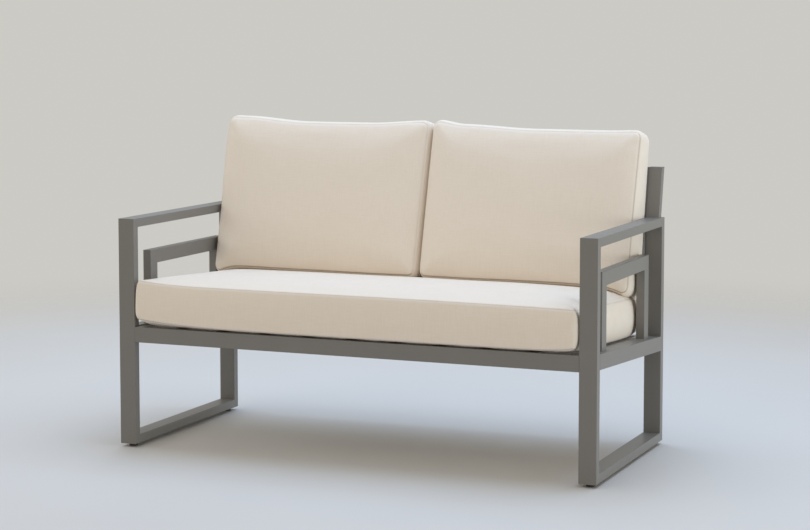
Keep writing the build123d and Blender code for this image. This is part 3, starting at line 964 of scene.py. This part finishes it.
@dataclass
class Zip:
    """A coil zip along one side of a cushion's band: tape, teeth and slider."""

    cushion: Cushion
    side: int
    tape: bpy.types.Material
    coil: bpy.types.Material
    metal: bpy.types.Material
    end_setback: float = 90 * MM
    tape_width: float = 24 * MM
    tape_thickness: float = 0.5 * MM
    tape_stand: float = 0.35 * MM
    tape_ticks: tuple[float, ...] = (-1, -0.55, -0.12, 0.12, 0.55, 1)
    tooth_pitch: float = 3.2 * MM
    tooth_width: float = 5.4 * MM
    tooth_height: float = 1.5 * MM
    tooth_lean: float = 0.35
    tooth_steps: int = 6
    wire_radius: float = 0.55 * MM
    slider_share: float = 0.8
    slider_edge: float = 0.35 * MM
    probe: float = 0.2

    # Half outlines in millimetres, and the heights between which each plate lies
    slider_outline: Line = ((-6.0, 2.6), (-5.2, 4.0), (3.5, 5.0), (6.0, 3.6), (6.0, 1.2))
    slider_heights: Pair = (2.1, 3.3)
    tab_outline: Line = ((-2.0, 1.6), (-3.0, 2.6), (-16.0, 2.6), (-18.0, 1.4))
    tab_heights: Pair = (3.3, 4.3)

    def make(self) -> None:
        """Builds the zip on the cushion's band."""
        body = self.cushion.body()
        axes = self.cushion.axes
        tree = surface_of(self.cushion.piece)
        half_width, _ = self.cushion.size()
        middle = self.cushion.centre()
        outward = axes.up * self.side
        stand = sum(self.cushion.thickness) / 4
        reach = (axes.high.y - axes.low.y) / 2 + self.probe
        length = 2 * (half_width - self.end_setback)
        count = round(length / self.tooth_pitch)

        def touch(across: float, offset: float) -> Vector:
            """Where the band's surface lies."""
            seat = axes.point(middle.x + across, middle.y, axes.low.z + stand + offset) + outward * reach
            hit = tree.ray_cast(seat, -outward)[0]
            return hit if hit else seat - outward * (reach / 2)

        points: list[Vector] = []
        rows = []
        offsets = [share * self.tape_width / 2 for share in self.tape_ticks]
        for index in range(count + 1):
            across = -length / 2 + length * index / count
            rows.append(add_row(points, (touch(across, at) + outward * self.tape_stand for at in offsets)))
        faces = [quad for low, high in zip(rows, rows[1:]) for quad in strip(low, high, closed=False)]
        tape = make_object(f"{body}_zip_tape", points, faces)
        thick = tape.modifiers.new("thick", "SOLIDIFY")
        thick.thickness = self.tape_thickness
        thick.offset = 0.0
        points, faces = [], []
        for index in range(count):
            across = -length / 2 + length * (index + 0.5) / count
            lean = self.tooth_lean * self.tooth_pitch * (1 if index % 2 else -1)
            self.tooth(points, faces, touch(across, 0.0), outward, lean)
        teeth = make_object(f"{body}_zip_teeth", points, faces)
        slider = self.slider(touch(self.slider_share * length / 2, 0.0), outward)
        for piece, material in ((tape, self.tape), (teeth, self.coil), (slider, self.metal)):
            piece.data.materials.append(material)
            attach(piece, self.cushion.body())
        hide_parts(f"{self.cushion.body()}_zip")
        LOG.info("made the zip of %s, %d teeth", body, count)

    def tooth(self, points: list[Vector], faces: Faces, seat: Vector, outward: Vector, lean: float) -> None:
        """Adds one arched turn of the coil.

        Args:
            points: The mesh's points so far.
            faces: Its faces so far.
            seat: Where the turn sits.
            outward: Away from the cushion.
            lean: How far its far end lies along the zip.
        """
        rows = []
        for index in range(self.tooth_steps + 1):
            share = index / self.tooth_steps
            swing = (share - 0.5) * self.tooth_width
            arch = math.sin(math.pi * share) * self.tooth_height
            middle = seat + self.cushion.axes.out * swing + outward * (self.tape_stand + arch)
            middle += WIDTHWAYS * lean * (share - 0.5)
            sides = (WIDTHWAYS, outward, -WIDTHWAYS, -outward)
            rows.append(add_row(points, (middle + side * self.wire_radius for side in sides)))
        for low, high in zip(rows, rows[1:]):
            faces += strip(low, high)
        faces += [rows[0][::-1], rows[-1]]

    def slider(self, seat: Vector, outward: Vector) -> bpy.types.Object:
        """Builds the slider's body and its pull tab, each as a flat plate.

        Args:
            seat: Where it sits.
            outward: Away from the cushion.

        Returns:
            The slider.
        """
        points: list[Vector] = []
        faces: Faces = []
        plates = ((self.slider_outline, self.slider_heights), (self.tab_outline, self.tab_heights))
        for half, heights in plates:
            loop = [*half, *((x, -y) for x, y in reversed(half))]
            flat = [WIDTHWAYS * x + self.cushion.axes.out * y for x, y in loop]
            low, high = (
                add_row(points, (seat + (place + outward * height) * MM for place in flat))
                for height in heights
            )
            faces += [low[::-1], high, *strip(low, high)]
        slider = make_object(f"{self.cushion.body()}_zip_slider", points, faces)
        soft = slider.modifiers.new("edges", "BEVEL")
        soft.width = self.slider_edge
        soft.segments = 2
        return slider


@dataclass
class SeatFrame:
    """The welded frame, its deck, back panel, fasteners and glides, as packed."""

    nodes: dict[str, bpy.types.Object]
    coat: PowderCoat = PowderCoat()
    steel: Steel = Steel()
    metal_words: tuple[str, ...] = ("bolts", "washers", "nuts", "stud", "inserts")
    soft_words: tuple[str, ...] = ("cover", "foam", "zip")

    def dress(self) -> None:
        """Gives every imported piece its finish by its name."""
        coat = self.coat.material()
        steel = self.steel.material()
        glide = Shade.BLACK.plastic("black_glide_plastic")
        cap = Shade.TAUPE.plastic("taupe_cap_plastic")
        for name, piece in sorted(self.nodes.items()):
            if any(word in name for word in self.soft_words):
                continue
            if any(word in name for word in self.metal_words):
                dress(piece, steel)
            elif name.endswith("pad"):
                dress(piece, glide)
            elif name.endswith("caps"):
                dress(piece, cap)
            else:
                dress(piece, coat)


@dataclass(frozen=True)
class Slump:
    """How one back cushion has settled in use.

    The top line holds rises at places across the cushion, -1 to 1. The arm line holds
    how far the side beside the arm stands out at shares of the height.
    """

    name: str
    arm_side: int
    top_line: Line
    arm_line: Line
    side_bulges: Pair
    roll_widths: Pair
    # Painted shade of the left, right, bottom and top seam; the bottom one is where the cushion sits on the
    # seat
    seam_shades: tuple[float, float, float, float]


SLUMPS = (
    Slump(
        name="left_back_cushion_upholstery",
        arm_side=-1,
        top_line=((-1.0, 8 * MM), (-0.85, 6 * MM), (-0.2, -7 * MM), (0.4, -7 * MM), (1.0, 2 * MM)),
        arm_line=((0.0, 0.0), (0.42, 0.0), (0.62, 5 * MM), (0.8, 7 * MM), (1.0, 4 * MM)),
        side_bulges=(8 * MM, 11 * MM),
        roll_widths=(1.0, 1.3),
        seam_shades=(0.3, 0.15, 1.0, 0.2),
    ),
    Slump(
        name="right_back_cushion_upholstery",
        arm_side=1,
        top_line=((-1.0, 6 * MM), (-0.7, -6 * MM), (0.0, -15 * MM), (0.7, -16 * MM), (1.0, -14 * MM)),
        arm_line=((0.0, 0.0), (0.45, 0.0), (1.0, 2 * MM)),
        side_bulges=(7 * MM, 8 * MM),
        roll_widths=(1.0, 1.0),
        seam_shades=(0.05, 0.6, 1.0, 0.2),
    ),
)


@dataclass
class Upholstery:
    """The seat cushion, the two back cushions and their zips."""

    nodes: dict[str, bpy.types.Object]
    canvas: Canvas = Canvas()
    tape: ZipTape = ZipTape()
    steel: Steel = Steel(name="zip_slider_steel")
    front_fill: float = 10 * MM
    parting_fill: float = 2.2 * MM
    arm_fill: float = 3.4 * MM

    def make(self) -> None:
        """Builds the seat first, since the backs settle onto it."""
        canvas = self.canvas.material()
        seat = self.seat(canvas)
        backs = [self.back(slump, seat, canvas) for slump in SLUMPS]
        tape = self.tape.material()
        coil = Shade.COIL.plastic("zip_coil")
        metal = self.steel.material()
        for cushion in (seat, *backs):
            side = 1 if cushion is seat else -1
            Zip(cushion, side, tape, coil, metal).make()

    def seat(self, canvas: bpy.types.Material) -> Cushion:
        """Makes the seat cushion, stuffed past the front of its solid."""
        axes = Axes(
            up=Vector((0.0, math.cos(SEAT_SLOPE), -math.sin(SEAT_SLOPE))),
            out=Vector((0.0, math.sin(SEAT_SLOPE), math.cos(SEAT_SLOPE))),
        )
        axes.read(self.nodes["seat_cushion_cover"].data)
        axes.low.y -= self.front_fill
        seat = Cushion(
            name="seat_cushion_upholstery",
            axes=axes,
            canvas=canvas,
            corner=4 * MM,
            pull=1 * MM,
            bulge=4 * MM,
            side_bulges=(10 * MM, 9 * MM),
            thickness=(122 * MM, 122 * MM),
            rest_rise=4 * MM,
            rest_lifts=(17 * MM, 10 * MM),
            face_lifts=(14 * MM, 3 * MM),
            rest_powers=(5.0, 12.0),
            face_powers=(9.0, 4.0),
            end_lifts=(0.0, -8 * MM),
            crown=32.5 * MM,
            roll_run=42 * MM,
            roll_stretch=1.8,
            seam_shades=(0.25, 0.25, 0.5, 0.25),
            step=10 * MM,
        )
        seat.make()
        return seat

    def back(self, slump: Slump, seat: Cushion, canvas: bpy.types.Material) -> BackCushion:
        """Makes a back cushion, filled out to the arm and to the parting.

        Args:
            slump: How it has settled.
            seat: The seat cushion, already made.
            canvas: Its cloth.

        Returns:
            The cushion.
        """
        axes = Axes(
            up=Vector((0.0, math.sin(BACK_LEAN), math.cos(BACK_LEAN))),
            out=Vector((0.0, -math.cos(BACK_LEAN), math.sin(BACK_LEAN))),
        )
        axes.read(self.nodes[slump.name.replace("upholstery", "cover")].data)
        left_fill, right_fill = (self.arm_fill, self.parting_fill)[::-slump.arm_side]
        axes.low.x -= left_fill
        axes.high.x += right_fill
        back = BackCushion(
            axes=axes,
            canvas=canvas,
            corner=21 * MM,
            pull=2 * MM,
            bulge=9 * MM,
            rest_bulge_share=1.0,
            thickness=(106 * MM, 76 * MM),
            rest_lifts=(3 * MM, 3 * MM),
            face_lifts=(-4 * MM, -4 * MM),
            crown=28 * MM,
            step=8 * MM,
            seat=seat,
            **vars(slump),
        )
        back.make()
        return back


@dataclass(frozen=True)
class SoftBox:
    """One rectangular light: where it hangs, what it faces, its size, watts and tint."""

    name: str
    place: Triple
    target: Triple
    size: Pair
    power: float
    tint: Triple

    def hang(self) -> None:
        """Adds the light."""
        data = bpy.data.lights.new(self.name, "AREA")
        data.shape = "RECTANGLE"
        data.size, data.size_y = self.size
        data.energy = self.power
        data.color = self.tint
        lamp = bpy.data.objects.new(self.name, data)
        lamp.location = self.place
        facing = Vector(self.target) - Vector(self.place)
        lamp.rotation_euler = facing.to_track_quat("-Z", "Y").to_euler()
        bpy.context.scene.collection.objects.link(lamp)


SOFT_BOXES = (
    SoftBox("top_box", (0.2, 0.7, 3.4), (0.0, 0.0, 0.3), (4.0, 2.6), 98.0, (0.46, 0.66, 1.0)),
    SoftBox("right_box", (4.6, -0.1, 0.45), (0.5, 0.0, 0.35), (2.8, 1.1), 62.0, (0.8, 0.91, 1.0)),
    SoftBox("left_box", (-5.2, -0.8, 2.4), (-0.3, 0.0, 0.5), (2.6, 2.4), 40.0, (0.84, 0.92, 1.0)),
    SoftBox("front_box", (-1.2, -4.4, 4.2), (0.0, 0.0, 0.5), (3.0, 2.4), 22.0, (1.0, 0.8, 0.62)),
)


@dataclass
class Studio:
    """Floor, backdrop, lights and the camera."""

    camera_place: Triple = (2.29772, -5.4362, 1.22059)
    camera_pitch: float = math.pi / 2 - 0.0863
    camera_turn: float = 0.3947
    lens: float = 91.72
    sensor: float = 36.0
    far_clip: float = 50.0
    frame_pixels: tuple[int, int] = (810, 530)
    centre_pixel: Pair = (405.0, 200.0)
    floor_radius: float = 6.0
    floor_rings: int = 6
    floor_spokes: int = 48
    backdrop: Colour = colour(206, 204, 198)
    backdrop_strength: float = 0.98

    def make(self) -> None:
        """Builds the studio."""
        self.camera()
        self.floor()
        self.world()
        for box in SOFT_BOXES:
            box.hang()
        view = bpy.context.scene.view_settings
        view.view_transform = "Standard"
        view.look = "None"
        view.exposure = 0.0
        view.gamma = 1.0

    def camera(self) -> None:
        """Places the camera where the photograph was taken from."""
        data = bpy.data.cameras.new("camera")
        data.lens = self.lens
        data.sensor_width = self.sensor
        width, height = self.frame_pixels
        data.shift_x = (width / 2 - self.centre_pixel[0]) / width
        data.shift_y = -(height / 2 - self.centre_pixel[1]) / width
        data.clip_end = self.far_clip
        camera = bpy.data.objects.new("camera", data)
        camera.location = self.camera_place
        camera.rotation_euler = (self.camera_pitch, 0.0, self.camera_turn)
        bpy.context.scene.collection.objects.link(camera)
        bpy.context.scene.camera = camera

    def floor(self) -> None:
        """Lays a round floor that fades out before its edge."""
        points = [Vector((0.0, 0.0, 0.0))]
        turns = [2 * math.pi * spoke / self.floor_spokes for spoke in range(self.floor_spokes)]
        around = [Vector((math.cos(turn), math.sin(turn), 0.0)) for turn in turns]
        rings = []
        for ring in range(1, self.floor_rings + 1):
            radius = self.floor_radius * ring / self.floor_rings
            rings.append(add_row(points, (way * radius for way in around)))
        inner = rings[0]
        faces = [(0, first, second) for first, second in zip(inner, (*inner[1:], inner[0]))]
        for low, high in zip(rings, rings[1:]):
            faces += strip(high, low)
        floor = make_object("floor", points, faces)
        floor.data.materials.append(StudioFloor().material())

    def world(self) -> None:
        """Sets the plain backdrop, which is also the soft fill."""
        world = bpy.data.worlds.new("backdrop")
        world.use_nodes = True
        background = world.node_tree.nodes["Background"]
        background.inputs["Color"].default_value = self.backdrop
        background.inputs["Strength"].default_value = self.backdrop_strength
        bpy.context.scene.world = world


def main() -> None:
    """Loads the frame, dresses it and builds what it carries."""
    logging.basicConfig(level=logging.INFO, format="%(message)s")
    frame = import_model()
    SeatFrame(frame["nodes"]).dress()
    Upholstery(frame["nodes"]).make()
    Studio().make()


if __name__ == "__main__":
    main()
